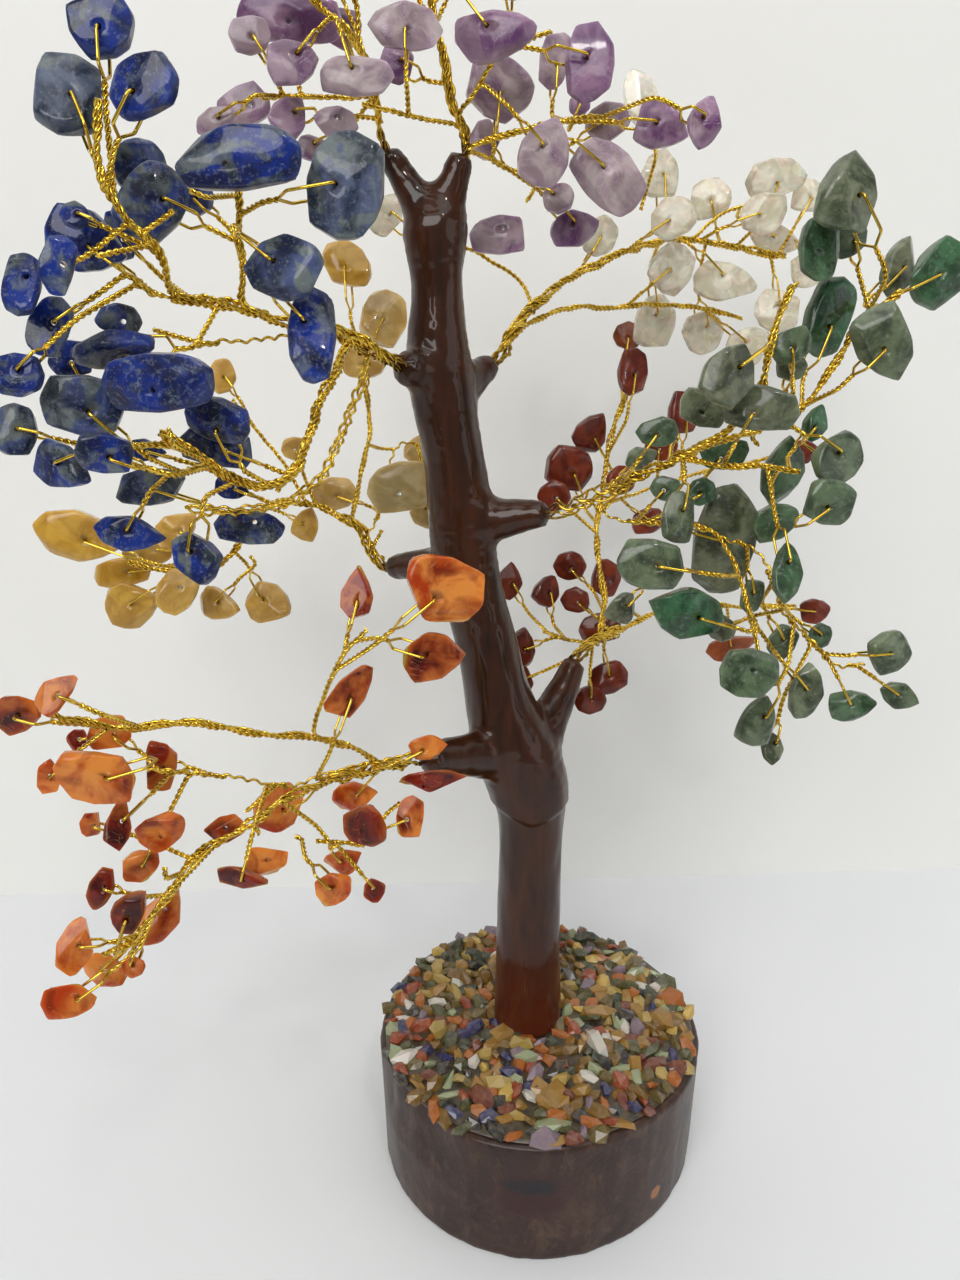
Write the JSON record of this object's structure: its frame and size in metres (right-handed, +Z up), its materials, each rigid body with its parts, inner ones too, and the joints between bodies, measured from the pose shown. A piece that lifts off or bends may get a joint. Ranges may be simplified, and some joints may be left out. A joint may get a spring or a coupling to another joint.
{
  "type": "gemstone tree ornament",
  "caption": "Wire tree with drilled stone chips in seven colours on twisted twigs, on a lacquered trunk set in a gravel-topped wood slice.",
  "frame": {"origin": "middle of the wood slice at its resting face", "axes": "+Z up, -Y is the front that the picture shows, +X to the right seen from the front"},
  "size_m": [0.1574, 0.1153, 0.2176],
  "materials": {
    "base_wood": "gloss",
    "gravel_resin": "gloss",
    "gravel_stone": "satin",
    "trunk_lacquer": "gloss",
    "gold_wire": "gloss",
    "lapis_stone": "polished",
    "amethyst_stone": "polished",
    "quartz_stone": "polished",
    "aventurine_stone": "polished",
    "jasper_stone": "polished",
    "citrine_stone": "polished",
    "carnelian_stone": "polished"
  },
  "bodies": {
    "root": {"base_disc": "base_wood", "gravel_bed": "gravel_resin", "gravel_chips": "gravel_stone", "trunk_core": "gold_wire", "trunk_skin": "trunk_lacquer", "lapis_bundle": "gold_wire", "lapis_stems": "gold_wire", "lapis_twigs": "gold_wire", "lapis_chips": "lapis_stone", "amethyst_left_bundle": "gold_wire", "amethyst_left_stems": "gold_wire", "amethyst_left_twigs": "gold_wire", "amethyst_left_chips": "amethyst_stone", "amethyst_right_bundle": "gold_wire", "amethyst_right_stems": "gold_wire", "amethyst_right_twigs": "gold_wire", "amethyst_right_chips": "amethyst_stone", "quartz_bundle": "gold_wire", "quartz_stems": "gold_wire", "quartz_twigs": "gold_wire", "quartz_chips": "quartz_stone", "aventurine_bundle": "gold_wire", "aventurine_stems": "gold_wire", "aventurine_twigs": "gold_wire", "aventurine_chips": "aventurine_stone", "jasper_bundle": "gold_wire", "jasper_stems": "gold_wire", "jasper_twigs": "gold_wire", "jasper_chips": "jasper_stone", "citrine_bundle": "gold_wire", "citrine_stems": "gold_wire", "citrine_twigs": "gold_wire", "citrine_chips": "citrine_stone", "carnelian_bundle": "gold_wire", "carnelian_stems": "gold_wire", "carnelian_twigs": "gold_wire", "carnelian_chips": "carnelian_stone"},
    "lapis_swinging_chip_1": {"lapis_swinging_chip_1": "lapis_stone"},
    "lapis_swinging_chip_2": {"lapis_swinging_chip_2": "lapis_stone"},
    "lapis_swinging_chip_3": {"lapis_swinging_chip_3": "lapis_stone"},
    "amethyst_left_swinging_chip_1": {"amethyst_left_swinging_chip_1": "amethyst_stone"},
    "amethyst_left_swinging_chip_2": {"amethyst_left_swinging_chip_2": "amethyst_stone"},
    "amethyst_right_swinging_chip_1": {"amethyst_right_swinging_chip_1": "amethyst_stone"},
    "amethyst_right_swinging_chip_2": {"amethyst_right_swinging_chip_2": "amethyst_stone"},
    "amethyst_right_swinging_chip_3": {"amethyst_right_swinging_chip_3": "amethyst_stone"},
    "quartz_swinging_chip_1": {"quartz_swinging_chip_1": "quartz_stone"},
    "quartz_swinging_chip_2": {"quartz_swinging_chip_2": "quartz_stone"},
    "aventurine_swinging_chip_1": {"aventurine_swinging_chip_1": "aventurine_stone"},
    "aventurine_swinging_chip_2": {"aventurine_swinging_chip_2": "aventurine_stone"},
    "aventurine_swinging_chip_3": {"aventurine_swinging_chip_3": "aventurine_stone"},
    "jasper_swinging_chip_1": {"jasper_swinging_chip_1": "jasper_stone"},
    "jasper_swinging_chip_2": {"jasper_swinging_chip_2": "jasper_stone"},
    "citrine_swinging_chip_1": {"citrine_swinging_chip_1": "citrine_stone"},
    "citrine_swinging_chip_2": {"citrine_swinging_chip_2": "citrine_stone"},
    "carnelian_swinging_chip_1": {"carnelian_swinging_chip_1": "carnelian_stone"},
    "carnelian_swinging_chip_2": {"carnelian_swinging_chip_2": "carnelian_stone"},
    "carnelian_swinging_chip_3": {"carnelian_swinging_chip_3": "carnelian_stone"}
  },
  "joints": [
    {"name": "lapis_swinging_chip_1_swing", "type": "hinge", "parent": "root", "child": "lapis_swinging_chip_1", "pos_m": [-0.04754, -0.04294, 0.18139], "axis": [-0.2414, -0.9659, 0.0932], "range_deg": [-15, 15]},
    {"name": "lapis_swinging_chip_2_swing", "type": "hinge", "parent": "root", "child": "lapis_swinging_chip_2", "pos_m": [-0.02821, -0.0331, 0.17344], "axis": [0.0589, -0.9865, 0.1527], "range_deg": [-15, 15]},
    {"name": "lapis_swinging_chip_3_swing", "type": "hinge", "parent": "root", "child": "lapis_swinging_chip_3", "pos_m": [-0.06236, -0.04276, 0.16265], "axis": [0.1898, -0.8257, 0.5311], "range_deg": [-15, 15]},
    {"name": "amethyst_left_swinging_chip_1_swing", "type": "hinge", "parent": "root", "child": "amethyst_left_swinging_chip_1", "pos_m": [-0.03755, -0.00404, 0.19796], "axis": [-0.0226, -0.9982, 0.0556], "range_deg": [-15, 15]},
    {"name": "amethyst_left_swinging_chip_2_swing", "type": "hinge", "parent": "root", "child": "amethyst_left_swinging_chip_2", "pos_m": [-0.04695, -0.01014, 0.18512], "axis": [-0.173, -0.9826, 0.0671], "range_deg": [-15, 15]},
    {"name": "amethyst_right_swinging_chip_1_swing", "type": "hinge", "parent": "root", "child": "amethyst_right_swinging_chip_1", "pos_m": [0.00401, -0.0021, 0.19393], "axis": [0.1685, -0.9546, 0.2457], "range_deg": [-15, 15]},
    {"name": "amethyst_right_swinging_chip_2_swing", "type": "hinge", "parent": "root", "child": "amethyst_right_swinging_chip_2", "pos_m": [0.01489, -0.00002, 0.18606], "axis": [0.0308, -0.9923, 0.1196], "range_deg": [-15, 15]},
    {"name": "amethyst_right_swinging_chip_3_swing", "type": "hinge", "parent": "root", "child": "amethyst_right_swinging_chip_3", "pos_m": [-0.01626, -0.00206, 0.21234], "axis": [0.2122, -0.8243, 0.5248], "range_deg": [-15, 15]},
    {"name": "quartz_swinging_chip_1_swing", "type": "hinge", "parent": "root", "child": "quartz_swinging_chip_1", "pos_m": [0.018, 0.03404, 0.19544], "axis": [0.2829, -0.8579, 0.4289], "range_deg": [-15, 15]},
    {"name": "quartz_swinging_chip_2_swing", "type": "hinge", "parent": "root", "child": "quartz_swinging_chip_2", "pos_m": [0.05554, 0.04858, 0.16958], "axis": [-0.1998, -0.9782, 0.0568], "range_deg": [-15, 15]},
    {"name": "aventurine_swinging_chip_1_swing", "type": "hinge", "parent": "root", "child": "aventurine_swinging_chip_1", "pos_m": [0.03916, -0.01796, 0.17385], "axis": [0.1677, -0.9499, 0.2638], "range_deg": [-15, 15]},
    {"name": "aventurine_swinging_chip_2_swing", "type": "hinge", "parent": "root", "child": "aventurine_swinging_chip_2", "pos_m": [0.0573, -0.00454, 0.16475], "axis": [0.1016, -0.9811, 0.1648], "range_deg": [-15, 15]},
    {"name": "aventurine_swinging_chip_3_swing", "type": "hinge", "parent": "root", "child": "aventurine_swinging_chip_3", "pos_m": [0.05461, -0.01788, 0.10276], "axis": [-0.0839, -0.9836, 0.1599], "range_deg": [-15, 15]},
    {"name": "jasper_swinging_chip_1_swing", "type": "hinge", "parent": "root", "child": "jasper_swinging_chip_1", "pos_m": [0.0198, 0.05103, 0.1551], "axis": [0, -0.9899, 0.1415], "range_deg": [-15, 15]},
    {"name": "jasper_swinging_chip_2_swing", "type": "hinge", "parent": "root", "child": "jasper_swinging_chip_2", "pos_m": [0.04326, 0.03805, 0.09228], "axis": [-0.1998, -0.9782, 0.0568], "range_deg": [-15, 15]},
    {"name": "citrine_swinging_chip_1_swing", "type": "hinge", "parent": "root", "child": "citrine_swinging_chip_1", "pos_m": [-0.03544, 0.03026, 0.1677], "axis": [-0.1116, -0.9773, 0.1801], "range_deg": [-15, 15]},
    {"name": "citrine_swinging_chip_2_swing", "type": "hinge", "parent": "root", "child": "citrine_swinging_chip_2", "pos_m": [-0.0753, 0.01401, 0.10867], "axis": [-0.2172, -0.9712, 0.0981], "range_deg": [-15, 15]},
    {"name": "carnelian_swinging_chip_1_swing", "type": "hinge", "parent": "root", "child": "carnelian_swinging_chip_1", "pos_m": [-0.01741, -0.03157, 0.12241], "axis": [0.1179, -0.9891, 0.0878], "range_deg": [-15, 15]},
    {"name": "carnelian_swinging_chip_2_swing", "type": "hinge", "parent": "root", "child": "carnelian_swinging_chip_2", "pos_m": [-0.0699, -0.04511, 0.11058], "axis": [-0.1283, -0.9908, 0.042], "range_deg": [-15, 15]},
    {"name": "carnelian_swinging_chip_3_swing", "type": "hinge", "parent": "root", "child": "carnelian_swinging_chip_3", "pos_m": [-0.06335, -0.05499, 0.07516], "axis": [0.2718, -0.9527, 0.1362], "range_deg": [-15, 15]}
  ]
}
